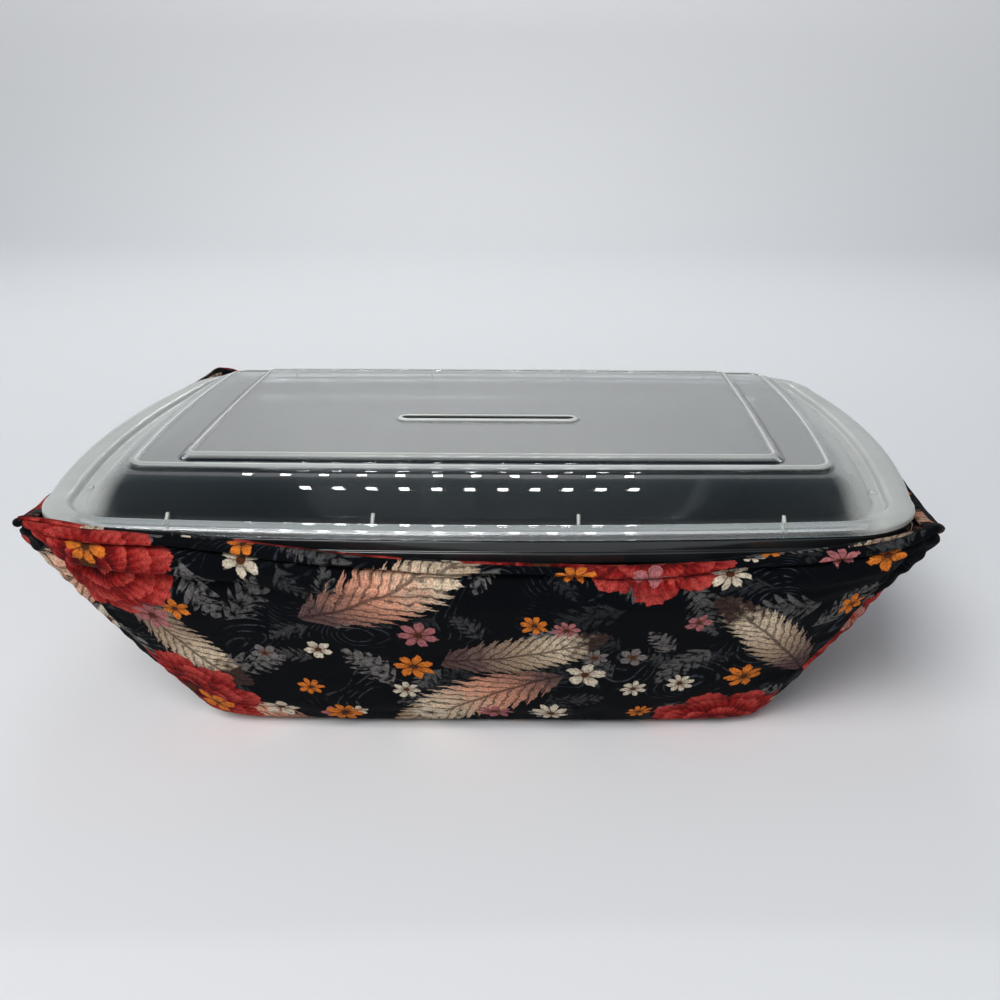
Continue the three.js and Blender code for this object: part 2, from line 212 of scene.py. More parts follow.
outer_floor = floor_rings(0, 0.0)
outer_edge = edge_rings(0, 0.0)
outer_wall = [level_ring(0, level) for level in wall_levels(0.0)]
outer_crease = cozy_ring(STITCH_PULL, lambda rim_z: rim_z - STITCH_DROP)
outer_roll = [roll_ring(-1, turn) for turn in ROLL_TURNS]
outer_rings = np.array([*outer_floor, *outer_edge, *outer_wall, outer_crease, *outer_roll])
for (sign_x, sign_y), rise in BASE_CORNER_LIFTS.items():
    away_x = outer_rings[..., 0] - sign_x * BASE["half_x"]
    away_y = outer_rings[..., 1] - sign_y * BASE["half_y"]
    away = (away_x ** 2 + away_y ** 2) / BASE_CORNER_SOFTNESS ** 2
    outer_rings[..., 2] += rise * np.exp(-away - outer_rings[..., 2] / BASE_CORNER_FADE)
ROWS, COLUMNS = outer_rings.shape[:2]
FLOOR_ROWS = len(outer_floor)
CREASE_ROW = ROWS - len(outer_roll) - 1
side_lengths = [CORNER_STEPS + (LONG_STEPS if turn % 2 else SHORT_STEPS) for turn in range(4)]
DART_COLUMNS = [sum(side_lengths[:turn]) + CORNER_STEPS // 2 for turn in range(4)]


def unfolded(rings):
    """Each wall laid flat beside the base: the flat place of every ring point, for each side."""
    steps = np.diff(rings, axis=0, prepend=rings[:1])
    slant_x = np.cumsum(np.hypot(steps[..., 0], steps[..., 2]), axis=0)
    slant_y = np.cumsum(np.hypot(steps[..., 1], steps[..., 2]), axis=0)
    x, y = rings[..., 0], rings[..., 1]
    start = np.abs(rings[0])
    return {
        "right": np.stack((start[:, 0] + slant_x, y), axis=-1),
        "back": np.stack((x, start[:, 1] + slant_y), axis=-1),
        "left": np.stack((-start[:, 0] - slant_x, y), axis=-1),
        "front": np.stack((x, -start[:, 1] - slant_y), axis=-1),
    }


def lay_flat(piece, rings, turned=1):
    """Gives the piece the places of its cloth before it was sewn, as the UV map named cut."""
    count = rings.shape[1]
    flat = unfolded(rings[FLOOR_ROWS - 1:])
    sides = np.empty(count, dtype=object)
    for turn, name in enumerate(("right", "back", "left", "front")):
        first, last = DART_COLUMNS[turn], DART_COLUMNS[(turn + 1) % 4]
        picked = np.arange(first, last if last > first else last + count) % count
        sides[picked] = name
    cut = piece.data.uv_layers.new(name="cut")
    area = 0.0
    for face in piece.data.polygons:
        row, column = divmod(min(face.vertices), count)
        if {0, count - 1} <= {vertex % count for vertex in face.vertices}:
            column = count - 1
        corners = []
        for loop in face.loop_indices:
            at_row, at_column = divmod(piece.data.loops[loop].vertex_index, count)
            if row < FLOOR_ROWS - 1:
                place = rings[at_row, at_column, :2]
            else:
                place = flat[sides[column]][at_row - FLOOR_ROWS + 1, at_column]
            cut.data[loop].uv = (turned * place[0], place[1])
            corners.append(place)
        x, y = np.transpose(corners)
        area += abs(x @ np.roll(y, -1) - y @ np.roll(x, -1)) / 2
    spots = np.array([loop.uv for loop in cut.data])
    return spots.max(axis=0) - spots.min(axis=0), area


last = COLUMNS - 1
floor_middle = [(last - i, last - i - 1, i + 1, i) for i in range(COLUMNS // 2 - 1)]
outer_faces = ring_faces(ROWS, COLUMNS) + floor_middle
outer = new_piece("outer_cotton", outer_rings.reshape(-1, 3), outer_faces)
outer_flat, outer_area = lay_flat(outer, outer_rings)

SWELL_FRAMES = 20
SWELL_MOST = 0.0026
SWELL_LEAST = -0.0003
SWELL = {
    "quality": 5, "mass": 0.15, "tension_stiffness": 20, "compression_stiffness": 20,
    "shear_stiffness": 8, "bending_stiffness": 0.5, "use_pressure": True,
    "uniform_pressure_force": 3.0, "shrink_min": -0.012,
}
DART_HOLD = (1.0, 0.9, 0.55, 0.2)
EDGE_HOLD = (0.6, 0.2)


def unit(vectors):
    """The same vectors, each brought to a length of 1."""
    return vectors / np.maximum(np.linalg.norm(vectors, axis=-1, keepdims=True), 1e-12)


def normals_of(grid):
    """Outward normals of a grid of rings."""
    around = np.roll(grid, -1, axis=1) - np.roll(grid, 1, axis=1)
    return unit(np.cross(around, np.gradient(grid, axis=0)))


def swell(piece, rows, columns, held_rows):
    """Lets the batting puff the sewn cloth out between its seams, and keeps the puffed shape."""
    pins = np.zeros((rows, columns))
    for row, hold in held_rows.items():
        pins[row] = hold
    for column in DART_COLUMNS:
        for step, hold in enumerate(DART_HOLD):
            for near in {(column + step) % columns, (column - step) % columns}:
                pins[:, near] = np.maximum(pins[:, near], hold)
    sewn = piece.vertex_groups.new(name="sewn")
    for index, hold in enumerate(pins.ravel()):
        sewn.add([index], hold, "REPLACE")
    cloth = piece.modifiers.new("batting_swell", "CLOTH")
    for name, value in SWELL.items():
        setattr(cloth.settings, name, value)
    cloth.settings.vertex_group_mass = sewn.name
    cloth.settings.effector_weights.gravity = 0
    cloth.collision_settings.use_collision = False
    cloth.point_cache.frame_end = SWELL_FRAMES
    scene = bpy.context.scene
    for step in range(1, SWELL_FRAMES + 1):
        scene.frame_set(step)
    settled = piece.evaluated_get(bpy.context.evaluated_depsgraph_get()).to_mesh()
    puffed = np.array([vertex.co for vertex in settled.vertices])
    piece.modifiers.remove(cloth)
    scene.frame_set(1)
    start = np.array([vertex.co for vertex in piece.data.vertices])
    move = puffed - start
    length = np.linalg.norm(move, axis=1, keepdims=True)
    move = move * np.minimum(1, SWELL_MOST / np.maximum(length, 1e-9))
    outward = normals_of(start.reshape(rows, columns, 3)).reshape(-1, 3)
    out = (move * outward).sum(axis=1, keepdims=True)
    return start + move + outward * (np.maximum(out, SWELL_LEAST) - out)


held_rows = {row: 1.0 for row in [*range(FLOOR_ROWS + 1), *range(CREASE_ROW, ROWS)]}
for step, hold in enumerate(EDGE_HOLD):
    held_rows[FLOOR_ROWS + 1 + step] = hold
outer_points = swell(outer, ROWS, COLUMNS, held_rows)

RUMPLES = (
    {"height": 0.0007, "scale": 0.022, "stretch": (1, 1, 1.6), "shift": 3.1},
    {"height": 0.0003, "scale": 0.008, "stretch": (1, 1, 1.5), "shift": 8.4},
)
RISE_ROWS = 4
FOLD_WIDTH = 0.0014
FOLD_END = 0.15
FRONT_Y = -0.04
FRONT_FOLDS = (
    {"start": (-0.099, 0.0540), "end": (-0.046, 0.0492), "deep": 0.0026, "puff": 0.0013},
    {"start": (-0.048, 0.0492), "end": (-0.008, 0.0482), "deep": 0.0011, "puff": 0.0005},
    {"start": (0.058, 0.0480), "end": (0.100, 0.0535), "deep": 0.0008, "puff": 0.0004},
    {"start": (-0.090, 0.0400), "end": (-0.050, 0.0455), "deep": 0.0006, "puff": 0.0003},
    {"start": (0.052, 0.0420), "end": (0.090, 0.0475), "deep": 0.0006, "puff": 0.0003},
)
PUFF_AWAY = 2.4 * FOLD_WIDTH
PUFF_WIDTH = 1.5 * FOLD_WIDTH
DART_GROOVE = 0.0006
DART_GROOVE_WIDTH = 0.0013
PUCKER_HEIGHT = 0.00028
PUCKER_PITCH = 0.0055
PUCKER_REACH = 0.007
TIP_ROW = -3
NUB_HEIGHT = 0.0006
NUB_LUMPS = 0.0014
NUB_SCALE = 0.004
NUB_WIDTH = 0.0060
EAR_CREASE_REACH = 0.012
EAR_FOLD = 0.0016
EAR_FOLD_DROP = 0.0085
EAR_FOLD_WIDTH = 0.0015
EAR_FOLD_REACH = 0.014
ROLL_FULLNESS = 0.0008
ROLL_FULL_RUN = 0.11
ROLL_BACK = 0.5
ROLL_SHARES = (0.1, -0.7, 0.1, 0.5, 0.5, 0.3)
GATHER = 0.00032
GATHER_PITCH = 0.0068
GATHER_DRIFT = {"height": 9.0, "scale": 0.03}
GATHER_SHARES = (0.15, 0.3, 0.5, 0.8, 1, 1, 0.4, 0.5, 0.4, 0.2)


def rumple(grid, height, scale, stretch=(1, 1, 1), shift=0.0):
    """Smooth seeded noise over a grid of points, in metres of height."""
    places = grid.reshape(-1, 3) * stretch / scale + shift
    heights = np.array([noise.noise(Vector(place)) for place in places]) * height
    return heights.reshape(grid.shape[:2])


def on_rows(first, shares):
    """A share for each ring from the first on, and 0 for the rest."""
    rows = np.zeros((ROWS, 1))
    rows[first:first + len(shares), 0] = shares
    return rows


outer_grid = outer_points.reshape(ROWS, COLUMNS, 3)
above_floor = np.clip((np.arange(ROWS) - FLOOR_ROWS) / RISE_ROWS, 0, 1)[:, None]
lift = sum(rumple(outer_grid, **waves) for waves in RUMPLES)
for fold in FRONT_FOLDS:
    start, end = np.array(fold["start"]), np.array(fold["end"])
    span = end - start
    flat_place = outer_grid[..., (0, 2)] - start
    share = np.clip((flat_place @ span) / (span @ span), 0, 1)
    away = np.linalg.norm(flat_place - share[..., None] * span, axis=2)
    over = np.sign(flat_place[..., 1] * span[0] - flat_place[..., 0] * span[1]) * away
    fade = np.sin(np.pi * (FOLD_END + (1 - 2 * FOLD_END) * share))
    groove = fold["deep"] * np.exp(-(over / FOLD_WIDTH) ** 2)
    puff = fold["puff"] * np.exp(-((over - PUFF_AWAY) / PUFF_WIDTH) ** 2)
    lift = lift + fade * (outer_grid[..., 1] < FRONT_Y) * (puff - groove)
for column in DART_COLUMNS:
    dart = outer_grid[:, column]
    away = np.linalg.norm(outer_grid - dart[:, None], axis=2)
    lift = lift - DART_GROOVE * np.exp(-(away / DART_GROOVE_WIDTH) ** 2)
    from_tip = np.linalg.norm(outer_grid - dart[TIP_ROW], axis=2)
    nub = NUB_HEIGHT + rumple(outer_grid, NUB_LUMPS, NUB_SCALE, shift=column)
    lift = lift + nub * np.exp(-(from_tip / NUB_WIDTH) ** 2)
    lift[CREASE_ROW] += STITCH_PULL * np.exp(-(from_tip[CREASE_ROW] / EAR_CREASE_REACH) ** 2)
    under_tip = dart[TIP_ROW, 2] - outer_grid[..., 2] - EAR_FOLD_DROP
    from_fold = (under_tip / EAR_FOLD_WIDTH) ** 2 + (from_tip / EAR_FOLD_REACH) ** 2
    lift = lift - EAR_FOLD * np.exp(-from_fold)
    climb = np.cumsum(np.linalg.norm(np.diff(dart, axis=0, prepend=dart[:1]), axis=1))
    waves = PUCKER_HEIGHT * np.sin(2 * np.pi * climb / PUCKER_PITCH)[:, None]
    reach = away / PUCKER_REACH
    lift = lift + waves * reach * np.exp(1 - reach ** 2)
full = np.clip(0.5 - outer_grid[..., 0] / ROLL_FULL_RUN, 0, 1)
full = full * np.where(outer_grid[..., 1] < 0, 1, ROLL_BACK)
lift = lift + ROLL_FULLNESS * on_rows(CREASE_ROW - 1, ROLL_SHARES) * full
crease = outer_grid[CREASE_ROW]
crease_run = np.cumsum(np.linalg.norm(np.diff(crease, axis=0, prepend=crease[-1:]), axis=1))
drift = rumple(outer_grid[-1:], **GATHER_DRIFT)[0]
gathers = np.sin(2 * np.pi * crease_run / GATHER_PITCH + drift)
lift = lift + GATHER * on_rows(CREASE_ROW - 6, GATHER_SHARES) * gathers
outer_grid = outer_grid + normals_of(outer_grid) * (lift * above_floor)[..., None]
outer.data.vertices.foreach_set("co", outer_grid.astype(np.float32).ravel())

COTTON = 0.0005


def finish_cloth(piece, thickness):
    """Smooths the sewn cloth once and gives it its own thickness, inward."""
    soften = piece.modifiers.new("soften", "SUBSURF")
    soften.levels = soften.render_levels = 1
    body = piece.modifiers.new("thickness", "SOLIDIFY")
    body.thickness = thickness
    body.offset = -1


finish_cloth(outer, COTTON)


class Wire:
    """A socket of a material, whose arithmetic adds Math nodes."""

    def __init__(self, tree, socket=None):
        self.tree = tree
        self.socket = socket

    def node(self, kind, settings=None, sockets=None, output=0):
        """Adds any node, with its settings and what its sockets take, and gives an output."""
        made = self.tree.nodes.new("ShaderNode" + kind)
        for name, value in (settings or {}).items():
            if name == "stops":
                while len(made.color_ramp.elements) < len(value):
                    made.color_ramp.elements.new(0.5)
                for stop, (place, colour) in zip(made.color_ramp.elements, value):
                    stop.position = place
                    stop.color = colour
            elif name == "blending":
                made.color_ramp.interpolation = value
            else:
                setattr(made, name, value)
        for name, value in (sockets or {}).items():
            if isinstance(value, Wire):
                self.tree.links.new(value.socket, made.inputs[name])
            else:
                made.inputs[name].default_value = value
        return Wire(self.tree, made.outputs[output] if made.outputs else None)

    def also(self, output):
        return Wire(self.tree, self.socket.node.outputs[output])

    def math(self, operation, *others):
        return self.node("Math", {"operation": operation}, dict(enumerate((self, *others))))

    def __add__(self, other):
        return self.math("ADD", other)

    def __sub__(self, other):
        return self.math("SUBTRACT", other)

    def __rsub__(self, other):
        return self.node("Math", {"operation": "SUBTRACT"}, {0: other, 1: self})

    def __mul__(self, other):
        return self.math("MULTIPLY", other)

    def __truediv__(self, other):
        return self.math("DIVIDE", other)

    def __pow__(self, other):
        return self.math("POWER", other)

    def __abs__(self):
        return self.math("ABSOLUTE")

    __radd__ = __add__
    __rmul__ = __mul__

    def above(self, low, high):
        """0 below low, 1 above high, smooth between."""
        ends = {"Value": self, "From Min": low, "From Max": high}
        return self.node("MapRange", {"interpolation_type": "SMOOTHSTEP"}, ends)

    def mixed(self, first, second):
        """From the first colour at 0 to the second at 1."""
        return self.node("Mix", {"data_type": "RGBA"}, {0: self, 6: first, 7: second}, 2)

    def raised(self, strength, distance):
        """The bump that this height makes."""
        sizes = {"Height": self, "Strength": strength, "Distance": distance}
        return self.node("Bump", {}, sizes)


def new_material(name):
    """An empty material, and a wire that adds nodes to it."""
    material = bpy.data.materials.new(name)
    material.use_nodes = True
    material.node_tree.nodes.clear()
    return material, Wire(material.node_tree)


def surface(wire, **sockets):
    """The material's finish: one Principled shader with these sockets, sent to the output."""
    named = {name.replace("_", " "): value for name, value in sockets.items()}
    wire.node("OutputMaterial", {}, {"Surface": wire.node("BsdfPrincipled", {}, named)})


def scattered(cloth, cell, jitter):
    """Spots strewn over the cloth: the turned place from the nearest, and two random values."""
    at = cloth.node("VectorMath", {"operation": "SCALE"}, {0: cloth, "Scale": 1 / cell})
    near = {"Vector": at, "Scale": 1.0, "Randomness": jitter}
    spot = at.node("TexVoronoi", {"voronoi_dimensions": "2D", "feature": "F1"}, near, "Position")
    away = at.node("VectorMath", {"operation": "SUBTRACT"}, {0: at, 1: spot})
    chance = at.node("SeparateColor", {}, {0: spot.also("Color")})
    spin = {"Vector": away, "Angle": chance * (2 * math.pi)}
    turned = at.node("VectorRotate", {"rotation_type": "Z_AXIS"}, spin)
    across = at.node("SeparateXYZ", {}, {0: turned})
    return across, across.also("Y"), chance.also("Green"), chance.also("Blue")


def chosen(pick, share):
    """1 on the given share of the spots, 0 on the others."""
    return pick.above(1 - share, 1.01 - share)


def polar(x, y):
    return (x * x + y * y).math("SQRT"), y.math("ARCTAN2", x)


def wave_of(value):
    return value.math("SINE")


def flecks(cloth, scale, detail):
    """Plain noise over the cloth, about 0.5."""
    spread = {"Vector": cloth, "Scale": scale, "Detail": detail}
    return cloth.node("TexNoise", {"noise_dimensions": "2D"}, spread)


NIGHT = (0.0017, 0.0023, 0.0034, 1)
NIGHT_STROKE = (0.046, 0.054, 0.066, 1)
LEAF_GREY = (0.045, 0.049, 0.053, 1)
LEAF_PALE = (0.180, 0.165, 0.158, 1)
BLUSH = (0.76, 0.35, 0.225, 1)
CREAM = (0.74, 0.59, 0.42, 1)
TAN = (0.45, 0.32, 0.215, 1)
MAUVE = (0.130, 0.075, 0.070, 1)
BARK = (0.052, 0.032, 0.026, 1)
VEIN = (0.030, 0.017, 0.015, 1)
WINE = (0.062, 0.004, 0.004, 1)
RED = (0.250, 0.011, 0.010, 1)
ROSE = (0.520, 0.062, 0.050, 1)
ORANGE = (0.700, 0.190, 0.025, 1)
PETAL = (0.680, 0.590, 0.460, 1)
PINK = (0.420, 0.140, 0.150, 1)
HEART = (0.080, 0.026, 0.010, 1)
PALE_LEAF = ((0.0, MAUVE), (0.28, BLUSH), (0.55, CREAM), (0.80, TAN), (1.0, MAUVE))
BROWN_LEAF = ((0.0, BARK), (0.35, MAUVE), (0.60, TAN), (0.85, CREAM), (1.0, BARK))
BLOOM_TONES = ((0.0, WINE), (0.45, RED), (1.0, ROSE))
BLOOM_RINGS = ((0.310, 9, 0.4), (0.238, 7, 1.3), (0.165, 6, 2.2), (0.095, 5, 0.9))


def strokes(cloth, ground):
    """Bundles of broken curling brush strokes, a little paler than the ground."""
    line = 1 - abs(wave_of(flecks(cloth, 30.0, 1.0) * 95)).above(0.0, 0.5)
    patches = flecks(cloth, 52.0, 2.0).above(0.46, 0.62)
    shown = patches * flecks(cloth, 380.0, 2.0).above(0.36, 0.62)
    return (line * shown).mixed(ground, NIGHT_STROKE)


def sprigs(cloth, under, cell, share):
    """Small grey sprigs, their leaves slanting in pairs from a stem."""
    x, y, pick, tone = scattered(cloth, cell, 0.8)
    side = abs(y + x * x * 0.35)
    span = (1 - (x * 2.3) ** 2).above(0.0, 1.0)
    leaf = abs(wave_of((x - side * 0.9) * 24)) ** 0.8 * span * 0.19
    inside = (leaf + 0.010 - side).above(-0.010, 0.016) * span.above(0.0, 0.12)
    paint = flecks(cloth, 600.0, 2.0).above(0.30, 0.60) * (0.35 + tone * 0.6)
    colour = tone.mixed(LEAF_GREY, LEAF_PALE)
    return (inside * paint * chosen(pick, share)).mixed(under, colour)


def long_leaves(cloth, under, cell, width, stops, share):
    """Long leaves in painted bands of colour, with combed veins and a ragged edge."""
    x, y, pick, tone = scattered(cloth, cell, 0.5)
    along = x * 2.3
    side = abs(y + along * along * 0.06 - 0.025)
    body = (1 - along * along).math("MAXIMUM", 0)
    hairs = flecks(cloth, 420.0, 3.0)
    ragged = hairs - 0.5
    comb = wave_of(along * 46 - side * 130 + ragged * 5)
    barbs = wave_of(along * 150 - side * 420 + ragged * 9)
    edge = body ** 0.62 * (0.85 - comb * 0.12 - barbs * 0.05 + ragged * 0.22) * width
    inside = (edge - side).above(0.0, 0.010)
    place = along * 0.5 + 0.5 + (tone - 0.5) * 0.35 + ragged * 0.3
    colour = cloth.node("ValToRGB", {"stops": stops}, {0: place})
    shade = comb.above(0.2, 1.0) * 0.60 + barbs.above(0.0, 1.0) * 0.22
    shade = shade + side.above(width * 0.4, width) * 0.35 + ragged * 0.8
    rib = 1 - side.above(0.004, 0.013)
    colour = shade.math("MAXIMUM", rib * 0.75).mixed(colour, VEIN)
    return (inside * chosen(pick, share)).mixed(under, colour)


def blooms(cloth, under, cell, share):
    """Full red blooms: rings of scalloped petals, deep at the heart and rosy at the edge."""
    x, y, pick, _ = scattered(cloth, cell, 0.42)
    away, angle = polar(x, y)
    dabs = flecks(cloth, 480.0, 3.0) - 0.5
    shown = chosen(pick, share)
    colour = under
    for reach, petals, turn in BLOOM_RINGS:
        lobe = abs((angle * (petals / 2) + turn).math("COSINE"))
        edge = (lobe ** 0.45 * 0.24 + 0.76 + dabs * 0.16) * reach
        inside = (edge - away).above(0.0, 0.006)
        streak = wave_of(angle * 44 + away * 30) * 0.10 + dabs * 0.75
        light = (away / edge).above(0.50, 1.02) * (0.35 + lobe * 0.65) + streak
        petal = cloth.node("ValToRGB", {"stops": BLOOM_TONES}, {0: light})
        colour = (inside * shown).mixed(colour, petal)
    heart = 1 - away.above(0.020, 0.036)
    return (heart * shown).mixed(colour, HEART)


def daisies(cloth, under, cell, colours, share):
    """Small open flowers with loose painted petals and a dark heart."""
    x, y, pick, tone = scattered(cloth, cell, 0.6)
    away, angle = polar(x, y)
    dabs = flecks(cloth, 900.0, 2.0) - 0.5
    petals = (tone * 3.99).math("FLOOR") + 5
    lobe = abs((angle * petals / 2).math("COSINE"))
    edge = (lobe ** 0.7 * 0.58 + 0.42 + dabs * 0.35) * 0.27
    inside = (edge - away).above(0.0, 0.025)
    kinds = [(index / len(colours), colour) for index, colour in enumerate(colours)]
    kind = (tone * 7.3).math("FRACT")
    choice = cloth.node("ValToRGB", {"blending": "CONSTANT", "stops": kinds}, {0: kind})
    fold = (1 - lobe.above(0.0, 0.55)) * 0.55 + (1 - away.above(0.05, 0.17)) * 0.55
    heart = 1 - away.above(0.050, 0.075)
    colour = (fold + dabs * 0.9).math("MAXIMUM", heart).mixed(choice, HEART)
    return (inside * chosen(pick, share)).mixed(under, colour)


WEAVE_PITCH = 0.00052
HAND_DRIFT = 0.0011
PRINT_MOVES = ((0.31, 0.17, 0), (0.57, 0.29, 0), (0.13, 0.43, 0))


def printed_cotton(name, shift):
    """Dark cotton printed with blooms, leaves and small flowers, in a plain weave."""
    material, wire = new_material(name)
    cut = wire.node("UVMap", {"uv_map": "cut"})
    hand = flecks(cut, 160.0, 2.0).also("Color")
    drift = {0: hand, 1: (HAND_DRIFT, HAND_DRIFT, 0), 2: (*shift, 0)}
    wander = wire.node("VectorMath", {"operation": "MULTIPLY_ADD"}, drift)
    cloth = wire.node("VectorMath", {"operation": "ADD"}, {0: cut, 1: wander})
    first, second, third = (
        wire.node("VectorMath", {"operation": "ADD"}, {0: cloth, 1: move}) for move in PRINT_MOVES
    )
    colour = strokes(cloth, NIGHT)
    colour = sprigs(cloth, colour, 0.0150, 0.75)
    colour = sprigs(first, colour, 0.0230, 0.70)
    colour = daisies(first, colour, 0.0130, (PINK, PETAL, LEAF_PALE, ORANGE), 0.40)
    colour = long_leaves(second, colour, 0.050, 0.15, BROWN_LEAF, 0.75)
    colour = long_leaves(cloth, colour, 0.060, 0.17, PALE_LEAF, 0.80)
    colour = blooms(third, colour, 0.062, 0.72)
    colour = daisies(cloth, colour, 0.0185, (ORANGE, PETAL, ORANGE, PINK, PETAL), 0.55)
    mottle = flecks(cut, 800.0, 3.0)
    grain = flecks(cut, 2300.0, 2.0).above(0.38, 0.72) * 0.42
    colour = ((mottle - 0.42).math("MAXIMUM", 0) + grain).mixed(colour, NIGHT)
    threads = wire.node("SeparateXYZ", {}, {0: cut})
    warp = wave_of(threads * (2 * math.pi / WEAVE_PITCH))
    weft = wave_of(threads.also("Y") * (2 * math.pi / WEAVE_PITCH))
    weave = warp * weft * 0.5 + mottle * 0.8
    surface(
        wire, Base_Color=colour, Roughness=0.85, Normal=weave.raised(0.55, 0.0002),
        Sheen_Weight=0.01, Sheen_Roughness=0.4, Specular_IOR_Level=0.04,
    )
    return material


outer.data.materials.append(printed_cotton("outer_print", (0.020, 0.013)))
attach(outer, "cozy")
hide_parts("outer_shell")


# Battings: two layers of needled cotton wadding, one sewn behind each cotton. They are about
# 2 mm thick at the base, pressed thinner toward the rim, and cut short of its stitching.
CAD_GAP = 0.0003
BATTING_WALL = 0.0022
BATTING_RIM = 0.0006
BATTING_TRIM = 6
BATTING_PRESS = 0.9
BATTING_PRESS_POWER = 6
SEAM_ROOM = 0.0009
OUTER_BATTING_BACK, LINING_BATTING_BACK, LINING_BATTING_FACE, LINING_FACE = 3, 4, 5, 7
WADDING = (0.80, 0.76, 0.68, 1)
WADDING_DARK = (0.62, 0.57, 0.48, 1)


def stack_depths(level):
    """Depths of the faces of the sewn layers from the outside in, from base (0) to rim (1)."""
    batting = BATTING_WALL + (BATTING_RIM - BATTING_WALL) * level ** 2
    return np.cumsum((0, COTTON, CAD_GAP, batting, SEAM_ROOM, batting, CAD_GAP, COTTON))


def layer_rings(face):
    """One face of a layer, from the middle of the base up to the stitched crease."""
    low = stack_depths(0)[face]
    return [
        *floor_rings(low, low),
        *edge_rings(low, low),
        *(level_ring(stack_depths(level)[face], level) for level in wall_levels(low)),
    ]


def capped_faces(rows, count):
    """Faces between rings, with the first and the last ring closed over."""
    ends = [tuple(reversed(range(count))), tuple(range((rows - 1) * count, rows * count))]
    return ring_faces(rows, count) + ends


def batting_piece(name, outside, inside, node):
    """One layer of wadding between two faces, trimmed below the rim."""
    rings = [*outside[:-BATTING_TRIM], *inside[:-BATTING_TRIM][::-1]]
    piece = new_piece(name, np.concatenate(rings), capped_faces(len(rings), COLUMNS))
    piece.data.materials.append(wadding)
    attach(piece, "cozy")
    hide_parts(node)


def grain_in(wire, scale, detail):
    """Plain noise through a solid, about 0.5."""
    place = wire.node("TexCoord", {}, {}, "Object")
    return wire.node("TexNoise", {}, {"Vector": place, "Scale": scale, "Detail": detail})


wadding, wire = new_material("cotton_wadding")
fibres = grain_in(wire, 900.0, 5.0)
tone = (fibres * 0.6 + grain_in(wire, 120.0, 2.0) * 0.6).above(0.35, 0.85)
surface(
    wire, Base_Color=tone.mixed(WADDING_DARK, WADDING), Roughness=0.95,
    Normal=fibres.raised(0.6, 0.0004), Sheen_Weight=0.3,
)
behind_outer = (outer_grid - normals_of(outer_grid) * (COTTON + CAD_GAP))[:CREASE_ROW]
batting_back = np.array(layer_rings(OUTER_BATTING_BACK))
_, at_ear = wall_ring(0.0, lambda rim_z: rim_z)
pressed = np.linspace(0, 1, len(behind_outer))[:, None] ** BATTING_PRESS_POWER
pressed = np.maximum(pressed, at_ear * above_floor[:CREASE_ROW])[..., None]
batting_front = behind_outer + (batting_back - behind_outer) * BATTING_PRESS * pressed
batting_piece("outer_wadding", batting_front, batting_back, "outer_batting")
batting_piece(
    "lining_wadding", layer_rings(LINING_BATTING_BACK), layer_rings(LINING_BATTING_FACE),
    "lining_batting",
)


# Lining: a second cut of printed cotton, darted as the outer one is and dropped inside it. It
# meets the outer cotton along the top of the rim, and shows inside the ears.
LINING_RUMPLE = {"height": 0.0002, "scale": 0.012, "stretch": (1, 1, 1.4), "shift": 5.7}
lining_rings = np.array([
    *layer_rings(LINING_FACE),
    *(roll_ring(1, turn) for turn in ROLL_TURNS),
])
lining_faces = ring_faces(len(lining_rings), COLUMNS) + floor_middle
lining = new_piece("lining_cotton", lining_rings.reshape(-1, 3), lining_faces)
lining_flat, lining_area = lay_flat(lining, lining_rings, -1)
lining.data.flip_normals()
lining_lift = rumple(lining_rings, **LINING_RUMPLE)
lining_rings = lining_rings + normals_of(lining_rings) * lining_lift[..., None]
lining.data.vertices.foreach_set("co", lining_rings.astype(np.float32).ravel())
finish_cloth(lining, COTTON)
lining.data.materials.append(printed_cotton("lining_print", (0.095, 0.071)))
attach(lining, "cozy")
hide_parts("lining_shell")


# Sewing: dark polyester thread in lock stitches about 3 mm long. One row holds the turned rim
# down, and hidden rows between the battings close the dart at each corner of both cottons.
THREAD = 0.00034
STITCH = 0.0027
STITCH_GAP = 0.0005
STITCH_SINK = 0.55
STITCH_WIDTHS = (0.35, 0.9, 1, 1, 0.9, 0.35)
THREAD_SIDES = 6
THREAD_COLOUR = (0.012, 0.012, 0.016, 1)
THREAD_LIGHT = (0.060, 0.058, 0.064, 1)


def along_path(reach, distance, values):
    """The values of a path's points, taken at some distances along it."""
    return np.stack([np.interp(reach, distance, values[:, axis]) for axis in range(3)], axis=1)


